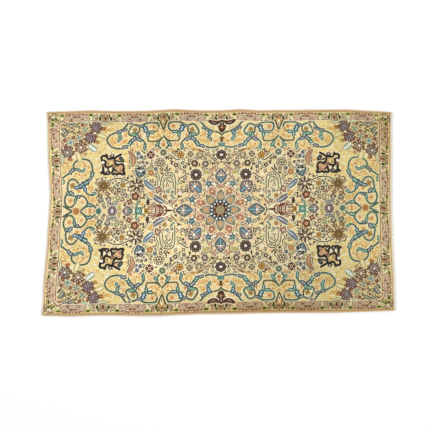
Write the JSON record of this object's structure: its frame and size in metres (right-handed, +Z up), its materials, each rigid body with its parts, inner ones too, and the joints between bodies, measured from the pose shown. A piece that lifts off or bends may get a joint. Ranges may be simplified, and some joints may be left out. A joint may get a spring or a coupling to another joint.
{
  "type": "persian rug",
  "caption": "Hand-knotted Persian rug lying flat, cream floral field with a centre rosette, patterned border, overcast sides and a short knotted fringe.",
  "frame": {"origin": "on the floor, under the middle of the rug's bounding box, fringe included", "axes": "+X along the rug's length, +Y across its width, +Z up from the floor through the pile"},
  "size_m": [2.4474, 1.4232, 0.0159],
  "materials": {
    "wool_pile": "cut wool pile knotted in cream, gold, teal, blue, brown, rust and mauve",
    "overcast_wool": "golden brown wool yarn wound round the edge cords",
    "cotton_warp": "undyed cotton, plain woven and knotted into tassels"
  },
  "bodies": {
    "root": {"pile_body": "wool_pile", "selvedge_far": "overcast_wool", "selvedge_near": "overcast_wool", "fringe_left": "cotton_warp", "fringe_right": "cotton_warp"}
  },
  "joints": []
}
